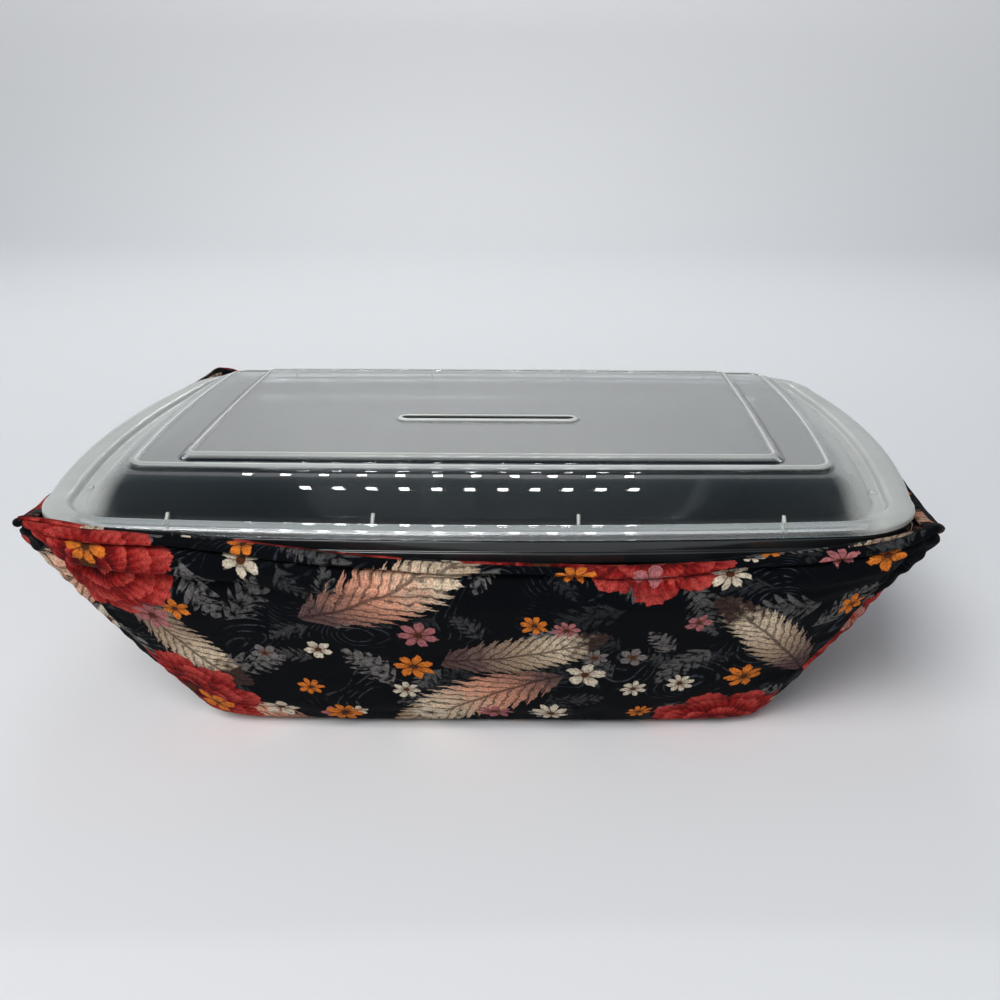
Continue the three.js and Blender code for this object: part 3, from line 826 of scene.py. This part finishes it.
def stitch_row(name, node, points, normals, closed):
    """Stitches end to end on a path, each a short thread that dips into the cloth at its ends."""
    path = np.vstack((points, points[:1])) if closed else np.asarray(points)
    outward = np.vstack((normals, normals[:1])) if closed else np.asarray(normals)
    steps = np.linalg.norm(np.diff(path, axis=0), axis=1)
    distance = np.concatenate(([0], np.cumsum(steps)))
    count = int(distance[-1] / (STITCH + STITCH_GAP))
    shares = np.linspace(0, 1, len(STITCH_WIDTHS))
    dips = np.sin(np.pi * shares) ** 0.5 - STITCH_SINK
    angles = np.linspace(0, 2 * math.pi, THREAD_SIDES, endpoint=False)[:, None]
    verts, faces = [], []
    for index in range(count):
        reach = (index + 0.5) * distance[-1] / count + (shares - 0.5) * STITCH
        middle = along_path(reach, distance, path)
        up = along_path(reach, distance, outward)
        side = unit(np.cross(np.gradient(middle, axis=0), up))
        middle = middle + up * (dips * THREAD)[:, None]
        first = len(verts) * THREAD_SIDES
        for centre, width, across, lifted in zip(middle, STITCH_WIDTHS, side, up):
            round_thread = np.cos(angles) * across + np.sin(angles) * lifted
            verts.append(centre + THREAD / 2 * width * round_thread)
        for face in capped_faces(len(STITCH_WIDTHS), THREAD_SIDES):
            faces.append(tuple(first + corner for corner in face))
    piece = new_piece(name, np.concatenate(verts), faces)
    piece.data.materials.append(thread)
    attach(piece, "cozy")
    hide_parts(node)


thread, wire = new_material("sewing_thread")
place = wire.node("TexCoord", {}, {}, "Object")
ply = {"Vector": place, "Scale": 900.0, "Distortion": 1.0}
twist = wire.node("TexWave", {"bands_direction": "DIAGONAL"}, ply)
surface(
    wire, Base_Color=twist.mixed(THREAD_COLOUR, THREAD_LIGHT), Roughness=0.55,
    Normal=twist.raised(0.5, 0.00006), Sheen_Weight=0.2,
)

outer_surface = BVHTree.FromObject(outer, bpy.context.evaluated_depsgraph_get())
crease_normals = normals_of(outer_grid)[CREASE_ROW]
crease_points = np.array([
    outer_surface.find_nearest(Vector(place))[0]
    for place in outer_grid[CREASE_ROW] + crease_normals * THREAD
])
stitch_row("rim_stitches", "rim_topstitch", crease_points, crease_normals, True)

SEAM_LEVELS = np.linspace(0.16, 0.95, 24)
for turn, corner in enumerate(("front_right", "back_right", "back_left", "front_left")):
    for layer, step in (("outer", 0), ("lining", CORNER_STEPS)):
        column = sum(side_lengths[:turn]) + step
        path = []
        for level in SEAM_LEVELS:
            depths = stack_depths(level)[[OUTER_BATTING_BACK, LINING_BATTING_BACK]]
            path.append(level_ring(depths.mean(), level)[column])
        name, node = f"{layer}_dart_stitches_{corner}", f"{layer}_dart_seam_{corner}"
        stitch_row(name, node, path, [unit(path[0] * (1, 1, 0))] * len(path), False)


# Tray: black polypropylene, injection moulded in one piece about 1 mm thick. Its sides flare from
# a heeled foot to a mouth whose rim turns down in a stepped skirt.
FLANGE = dict(half_x=0.1105, half_y=0.076, corner=0.021, bow_x=0.0054, bow_y=0.0037)
MOUTH = dict(half_x=0.104, half_y=0.0695, corner=0.019, bow_x=0.004, bow_y=0.003)
HEEL = dict(half_x=0.072, half_y=0.046, corner=0.015, bow_x=0.001, bow_y=0.001)
FOOT = dict(half_x=0.062, half_y=0.036, corner=0.010, bow_x=0.0, bow_y=0.0)
FOOT_MIDDLE_INSET = 0.03
PLASTIC = 0.001
TRAY_LOW, TRAY_HIGH = (corner.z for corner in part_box("food_tray"))
HEEL_RISE = 0.005
BEND_RISE = 0.3
BEND_OUT = 0.6
MOUTH_DROP = 0.0037
SKIRT_STEP = 0.0005
SKIRT_STEP_DROP = 0.0027
SKIRT_DROP = 0.0052
TRAY_BLACK = (0.0040, 0.0050, 0.0058, 1)
TRAY_DUST = (0.0085, 0.0100, 0.0110, 1)


def blended(low, high, share):
    return {key: low[key] + (high[key] - low[key]) * share for key in low}


def level_with(ring, z):
    return np.column_stack((ring, np.full(len(ring), z)))


def station(shape, z, radius, frost=0.0):
    """One level of a moulding: its outline at a height, its edge's rounding and its milkiness, the
    plastic's haze with painted reflection added on the lid's flats and edges.
    """
    return level_with(outline(**shape), z), radius, frost


def moulded(stations, looped):
    """Rings through a moulding's stations, each edge rounded by its radius, and their milkiness:
    haze, with painted reflection where it is raised.
    """
    rings, hazes_and_shines = [], []
    for index, (ring, radius, frost) in enumerate(stations):
        ends = not looped and index in (0, len(stations) - 1)
        if radius == 0 or ends:
            rings.append(ring)
            hazes_and_shines.append(frost)
            continue
        near = []
        for beside in (stations[index - 1][0], stations[(index + 1) % len(stations)][0]):
            way = beside - ring
            length = np.linalg.norm(way, axis=1, keepdims=True)
            near.append(ring + way * np.minimum(0.45, radius / np.maximum(length, 1e-9)))
        for share in (0.0, 0.25, 0.5, 0.75, 1.0):
            start = (1 - share) ** 2 * near[0]
            rings.append(start + 2 * share * (1 - share) * ring + share ** 2 * near[1])
            hazes_and_shines.append(frost)
    return rings, hazes_and_shines


bend = blended(FOOT, HEEL, BEND_OUT)
bend_z = TRAY_LOW + BEND_RISE * HEEL_RISE
heel_z = TRAY_LOW + HEEL_RISE
mouth_z = TRAY_HIGH - MOUTH_DROP
skirt_z = TRAY_HIGH - SKIRT_DROP
step_z = TRAY_HIGH - SKIRT_STEP_DROP
tray_rings, _ = moulded([
    station(drawn_in(FOOT, FOOT_MIDDLE_INSET), TRAY_LOW, 0),
    station(FOOT, TRAY_LOW, 0.002),
    station(bend, bend_z, 0.004),
    station(HEEL, heel_z, 0.003),
    station(MOUTH, mouth_z, 0.002),
    station(MOUTH, TRAY_HIGH - PLASTIC, 0.0006),
    station(drawn_in(FLANGE, PLASTIC + SKIRT_STEP), TRAY_HIGH - PLASTIC, 0.0005),
    station(drawn_in(FLANGE, PLASTIC + SKIRT_STEP), skirt_z, 0.0002),
    station(FLANGE, skirt_z, 0.0004),
    station(FLANGE, step_z, 0.0004),
    station(drawn_in(FLANGE, SKIRT_STEP), step_z + SKIRT_STEP * 0.4, 0.0002),
    station(drawn_in(FLANGE, SKIRT_STEP), TRAY_HIGH, 0.0006),
    station(drawn_in(MOUTH, PLASTIC), TRAY_HIGH, 0.0008),
    station(drawn_in(MOUTH, PLASTIC), mouth_z, 0.002),
    station(drawn_in(HEEL, PLASTIC), heel_z + PLASTIC / 2, 0.003),
    station(drawn_in(bend, PLASTIC), bend_z + PLASTIC, 0.004),
    station(drawn_in(FOOT, PLASTIC), TRAY_LOW + PLASTIC, 0.002),
    station(drawn_in(FOOT, FOOT_MIDDLE_INSET), TRAY_LOW + PLASTIC, 0),
], looped=False)
tray_faces = capped_faces(len(tray_rings), len(tray_rings[0]))
tray = new_piece("tray", np.concatenate(tray_rings), tray_faces)
tray.modifiers.new("even_flats", "WEIGHTED_NORMAL")
tray_plastic, wire = new_material("black_tray_plastic")
cloud = grain_in(wire, 55.0, 4.0)
satin = grain_in(wire, 1400.0, 1.0).raised(0.12, 0.00005)
height = wire.node("SeparateXYZ", {}, {0: wire.node("TexCoord", {}, {}, "Object")}, "Z")
surface(
    wire, Base_Color=cloud.above(0.35, 0.75).mixed(TRAY_BLACK, TRAY_DUST),
    Roughness=cloud * 0.2 + 0.35, Normal=satin, Specular_IOR_Level=0.18,
    Coat_Weight=height.above(skirt_z - 0.002, skirt_z), Coat_Roughness=0.10,
)
tray.data.materials.append(tray_plastic)
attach(tray, "tray")
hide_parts("food_tray")


# Lid: clear polypropylene sheet under 1 mm thick, moulded in steps: a rounded flange that grips the
# tray, a gutter with small fins, a low dome, a ledge and a raised panel with a lipped steam slot.
SHEET = 0.0009
LID_LOW, LID_HIGH = (corner.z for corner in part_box("vented_lid"))
FLANGE_ROUND = 0.0022
FLANGE_TOP = TRAY_HIGH + 0.0029
GUTTER = TRAY_HIGH + 0.0013
SHOULDER_Z = GUTTER + 0.0066
LEDGE_Z = SHOULDER_Z + 0.001
PANEL_Z = LEDGE_Z + 0.0015
FLANGE_FOOT = dict(half_x=0.1025, half_y=0.0712, corner=0.017, bow_x=0.0045, bow_y=0.003)
DOME_FOOT = dict(half_x=0.0995, half_y=0.0704, corner=0.018, bow_x=0.004, bow_y=0.0025)
SHOULDER = dict(half_x=0.090, half_y=0.0512, corner=0.0065, bow_x=0.002, bow_y=0.001)
LEDGE = dict(half_x=0.0885, half_y=0.0496, corner=0.005, bow_x=0.002, bow_y=0.001)
PANEL_FOOT = dict(half_x=0.0758, half_y=0.0468, corner=0.004, bow_x=0.0005, bow_y=0.0005)
PANEL = dict(half_x=0.074, half_y=0.0452, corner=0.003, bow_x=0.0005, bow_y=0.0005)
PANEL_FOOT_EDGE = 0.0008
VENT_LENGTH = 0.047
VENT_WIDTH = 0.0034
VENT_Y = -0.013
VENT_LIP = 0.0016
VENT_EDGE = 0.0003
VENT_STRAIGHT = 0.94
BEAD = 0.0004
BEAD_WIDTH = 0.0014
DOME_ARC = math.radians(36)
DOME_TURNS = np.radians((7.2, 14.4, 21.6, 28.8))
# Milkiness of each part of the sheet: the plastic's own haze, raised on the flange top, the panel,
# the beads and the rounded edges as painted reflection and painted highlight lines.
FLANGE_HAZE_AND_SHINE = 0.36
FLANGE_SIDE_FROST = 0.10
GUTTER_FROST = 0.05
DOME_FROST = 0.010
PANEL_HAZE_AND_SHINE = 0.27
BEAD_HAZE_AND_SHINE = 0.85
EDGE_HAZE_AND_SHINE = 0.55
LIP_FROST = 0.95
FIN_FROST = 0.80
END_FROST = 0.66
END_START = 0.005
END_RUN = 0.008
LID_TINT = (0.93, 0.96, 0.97, 1)
# Colour of the milky part of the lid, which is its haze together with painted reflection.
LID_MILK_AND_SHINE = (0.60, 0.615, 0.585, 1)
LID_IOR = 1.49


def vent_station(margin, z, radius, frost=0.0):
    """Ring round the steam slot, matched point by point with the panel's outline."""
    around = outline(**PANEL) - (0, VENT_Y)
    straight = VENT_STRAIGHT * PANEL["half_x"]
    nearest = level_with(np.clip(around[:, :1], -straight, straight), 0.0)
    spine = nearest * (VENT_LENGTH - VENT_WIDTH) / 2 / straight
    ring = spine + unit(around - nearest) * (VENT_WIDTH / 2 + margin) + (0, VENT_Y)
    return level_with(ring, z), radius, frost


def bead_stations(shape, z):
    """A low round bead just inside the edge of a flat, made milkier on its top and rounded edge as
    painted highlight lines.
    """
    return [
        station(drawn_in(shape, BEAD_WIDTH), z, 0.0003, PANEL_HAZE_AND_SHINE),
        station(drawn_in(shape, BEAD_WIDTH / 2), z + BEAD, 0.0004, BEAD_HAZE_AND_SHINE),
        station(shape, z, 0.0003, EDGE_HAZE_AND_SHINE),
    ]


bends = []
for turn in DOME_TURNS:
    shape = blended(SHOULDER, DOME_FOOT, math.sin(turn) / math.sin(DOME_ARC))
    fall = (SHOULDER_Z - GUTTER) * (1 - math.cos(turn)) / (1 - math.cos(DOME_ARC))
    bends.append((shape, SHOULDER_Z - fall))
lid_rings, lid_hazes_and_shines = moulded([
    vent_station(0.0, LID_HIGH, 0.0001, LIP_FROST),
    vent_station(VENT_LIP * 0.5, LID_HIGH, 0.0004, LIP_FROST),
    vent_station(VENT_LIP, PANEL_Z, 0.0005, PANEL_HAZE_AND_SHINE),
    *bead_stations(PANEL, PANEL_Z),
    station(PANEL_FOOT, LEDGE_Z, 0.0006),
    station(drawn_in(PANEL_FOOT, -PANEL_FOOT_EDGE), LEDGE_Z, 0.0001, PANEL_HAZE_AND_SHINE),
    *bead_stations(LEDGE, LEDGE_Z),
    station(SHOULDER, SHOULDER_Z, 0.0016, DOME_FROST),
    *(station(shape, z, 0.003, DOME_FROST) for shape, z in bends),
    station(DOME_FOOT, GUTTER, 0.0006, GUTTER_FROST),
    station(FLANGE_FOOT, GUTTER, 0.0005, GUTTER_FROST),
    station(drawn_in(FLANGE_FOOT, -FLANGE_ROUND / 2), FLANGE_TOP, 0.0009, FLANGE_HAZE_AND_SHINE),
    station(drawn_in(FLANGE, FLANGE_ROUND), FLANGE_TOP, 0.0018, FLANGE_HAZE_AND_SHINE),
    station(FLANGE, FLANGE_TOP - FLANGE_ROUND / 2, 0.0010, FLANGE_SIDE_FROST),
    station(FLANGE, LID_LOW, 0.0002, FLANGE_SIDE_FROST),
    station(drawn_in(FLANGE, SHEET), LID_LOW, 0.0002),
    station(drawn_in(FLANGE, SHEET), LID_LOW + SHEET, 0.0003),
    station(FLANGE_FOOT, LID_LOW + SHEET, 0.0003),
    station(FLANGE_FOOT, GUTTER - SHEET, 0.0003),
    station(drawn_in(DOME_FOOT, SHEET), GUTTER - SHEET, 0.0004),
    *(station(drawn_in(shape, SHEET / 2), z - SHEET * 0.8, 0.003) for shape, z in bends[::-1]),
    station(drawn_in(SHOULDER, SHEET), SHOULDER_Z - SHEET / 2, 0.0014),
    station(drawn_in(LEDGE, SHEET), LEDGE_Z - SHEET, 0.0006),
    station(drawn_in(PANEL_FOOT, SHEET), LEDGE_Z - SHEET, 0.0006),
    station(drawn_in(PANEL, SHEET), PANEL_Z - SHEET, 0.0007),
    vent_station(VENT_LIP, PANEL_Z - SHEET, 0.0004),
    vent_station(0.0, LID_HIGH - VENT_EDGE, 0.0001, LIP_FROST),
], looped=True)
lid_points = np.concatenate(lid_rings)
haze_and_shine_at = np.repeat(lid_hazes_and_shines, len(lid_rings[0]))
lid_faces = [face[::-1] for face in ring_faces(len(lid_rings), len(lid_rings[0]), looped=True)]

FIN_THICK = 0.0008
FIN_LENGTH = 0.0034
FIN_SLANT = 0.9
FIN_RISE = 0.0024
END_FIN_RISE = 0.0008
FIN_PITCH = 0.047
END_FIN_Y = 0.046
FIN_FACES = ((0, 1, 2, 3), (7, 6, 5, 4), (0, 4, 5, 1), (1, 5, 6, 2), (2, 6, 7, 3), (3, 7, 4, 0))
fin_y = FLANGE_FOOT["half_y"]
fin_x = FLANGE_FOOT["half_x"] - FLANGE["bow_x"] / 2
fin_places = [
    ((step - 1.5) * FIN_PITCH, sign * fin_y, (0, -sign), FIN_RISE)
    for step in range(4) for sign in (-1, 1)
] + [
    (sign * fin_x, y, (-sign, 0), END_FIN_RISE)
    for sign in (-1, 1) for y in (-END_FIN_Y, END_FIN_Y)
]
for x, y, (inward_x, inward_y), top in fin_places:
    foot = -SHEET / 2
    profile = ((0, foot), (FIN_LENGTH, foot), (FIN_LENGTH, top), (FIN_LENGTH * FIN_SLANT, top))
    corners = [
        (
            x + inward_x * reach - inward_y * side * FIN_THICK,
            y + inward_y * reach + inward_x * side * FIN_THICK,
            GUTTER + rise,
        )
        for side in (-0.5, 0.5) for reach, rise in profile
    ]
    lid_faces += [tuple(len(lid_points) + i for i in face) for face in FIN_FACES]
    lid_points = np.vstack((lid_points, corners))
    haze_and_shine_at = np.append(haze_and_shine_at, [FIN_FROST] * len(corners))
lid = new_piece("lid", lid_points, lid_faces)
lid.modifiers.new("even_flats", "WEIGHTED_NORMAL")
toward_end = (np.abs(lid_points[:, 0]) - SHOULDER["half_x"] + END_START) / END_RUN
haze_and_shine_at = np.maximum(haze_and_shine_at, END_FROST * np.clip(toward_end, 0, 1)).astype(np.float32)
lid.data.attributes.new("frost", "FLOAT", "POINT").data.foreach_set("value", haze_and_shine_at)
lid_plastic, wire = new_material("clear_lid_plastic")
haze = grain_in(wire, 40.0, 3.0)
wave = grain_in(wire, 26.0, 1.0).raised(0.05, 0.0006)
clear = wire.node("BsdfPrincipled", {}, {
    "Base Color": LID_TINT, "Roughness": haze * 0.02 + 0.01, "Normal": wave,
    "IOR": LID_IOR, "Transmission Weight": 1.0,
})
# The milky shader paints the plastic's haze, and on the up-facing flats, beads and rounded edges
# painted reflection and painted highlights.
milk_and_shine = wire.node("BsdfPrincipled", {}, {
    "Base Color": LID_MILK_AND_SHINE, "Roughness": 0.22, "Normal": wave, "IOR": LID_IOR,
})
frost = wire.node("Attribute", {"attribute_name": "frost"}, {}, "Fac")
blend = wire.node("MixShader", {}, {0: frost * (haze * 0.5 + 0.75), 1: clear, 2: milk_and_shine})
wire.node("OutputMaterial", {}, {"Surface": blend})
lid.data.materials.append(lid_plastic)
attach(lid, "lid")
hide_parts("vented_lid")


# Studio: a pale floor that sweeps up behind, soft lamps above, two rows of small lights that show
# in the lid, and the camera a little above the lid.
FLOOR_COLOUR = (0.80, 0.80, 0.815, 1)
ROOM_LOW = (0.69, 0.69, 0.69, 1)
ROOM_HIGH = (0.095, 0.13, 0.155, 1)
FLOOR_HALF = 3.0
SWEEP_START = 0.9
SWEEP_RADIUS = 0.7
WALL_TOP = 1.1
sweep = [(-FLOOR_HALF, 0.0), (SWEEP_START, 0.0)]
for turn in np.linspace(0, math.pi / 2, 13)[1:]:
    run, rise = SWEEP_RADIUS * math.sin(turn), SWEEP_RADIUS * (1 - math.cos(turn))
    sweep.append((SWEEP_START + run, rise))
sweep.append((SWEEP_START + SWEEP_RADIUS, WALL_TOP))
sweep_points = [(x, y, z) for y, z in sweep for x in (-FLOOR_HALF, FLOOR_HALF)]
sweep_faces = [(2 * i, 2 * i + 1, 2 * i + 3, 2 * i + 2) for i in range(len(sweep) - 1)]
backdrop = new_piece("backdrop", sweep_points, sweep_faces)
paper, wire = new_material("pale_backdrop")
surface(wire, Base_Color=FLOOR_COLOUR, Roughness=0.9)
backdrop.data.materials.append(paper)

LAMPS = {
    "key": {"place": (-0.40, -1.00, 1.05), "aim": (0, 0, 0.03), "size": 0.7, "energy": 19.0},
    "wash": {"place": (0.0, 0.55, 0.85), "aim": (0, 1.60, 0.30), "size": 1.2, "energy": 2.2},
}
for name, lamp in LAMPS.items():
    light = bpy.data.lights.new(name, "AREA")
    light.energy = lamp["energy"]
    light.size = lamp["size"]
    holder = bpy.data.objects.new(name, light)
    holder.location = lamp["place"]
    ahead = Vector(lamp["aim"]) - Vector(lamp["place"])
    holder.rotation_euler = ahead.to_track_quat("-Z", "Y").to_euler()
    bpy.context.collection.objects.link(holder)
world = bpy.data.worlds.new("studio")
world.use_nodes = True
world.node_tree.nodes.clear()
wire = Wire(world.node_tree)
height = wire.node("SeparateXYZ", {}, {0: wire.node("TexCoord", {}, {}, "Generated")}, "Z")
sky = height.above(0.25, 0.70).mixed(ROOM_LOW, ROOM_HIGH)
glow = wire.node("Background", {}, {"Color": sky, "Strength": 1.0})
wire.node("OutputWorld", {}, {"Surface": glow})
bpy.context.scene.world = world

LED_ROWS = (
    {"place": (-0.130, 1.05, 0.63), "pitch": 0.052},
    {"place": (-0.076, 0.60, 0.91), "pitch": 0.041},
)
LEDS = 11
LED_HALF = (0.006, 0.030)
LED_STRENGTH = 28.0
led_points, led_faces = [], []
for row in LED_ROWS:
    led_x, led_y, led_z = row["place"]
    for step in range(LEDS):
        middle = led_x + (step - (LEDS - 1) / 2) * row["pitch"]
        led_faces.append(tuple(len(led_points) + corner for corner in range(4)))
        for side, end in ((-1, -1), (1, -1), (1, 1), (-1, 1)):
            slope = end * LED_HALF[1]
            led_points.append((middle + side * LED_HALF[0], led_y + slope, led_z - slope))
leds = new_piece("led_strips", led_points, led_faces)
led_glow, wire = new_material("led_glow")
shine = wire.node("Emission", {}, {"Color": (1, 1, 1, 1), "Strength": LED_STRENGTH})
wire.node("OutputMaterial", {}, {"Surface": shine})
leds.data.materials.append(led_glow)

LENS_PIXELS = 1102.34
PICTURE_PIXELS = 1000
SENSOR = 36.0
CAMERA_PLACE = (0.01597, -0.30398, 0.15509)
CAMERA_DIP = math.radians(17.19)
CAMERA_ROLL = math.radians(0.3)
CAMERA_SHIFT = (-0.046, -0.0596)
view = bpy.data.cameras.new("camera")
view.sensor_width = SENSOR
view.lens = LENS_PIXELS / PICTURE_PIXELS * SENSOR
view.shift_x, view.shift_y = CAMERA_SHIFT
view.clip_start = 0.01
camera = bpy.data.objects.new("camera", view)
camera.location = CAMERA_PLACE
level = Euler((math.pi / 2 - CAMERA_DIP, 0, 0)).to_matrix()
camera.rotation_euler = (level @ Matrix.Rotation(CAMERA_ROLL, 3, "Z")).to_euler()
bpy.context.collection.objects.link(camera)
bpy.context.scene.camera = camera
bpy.context.scene.view_settings.view_transform = "Standard"
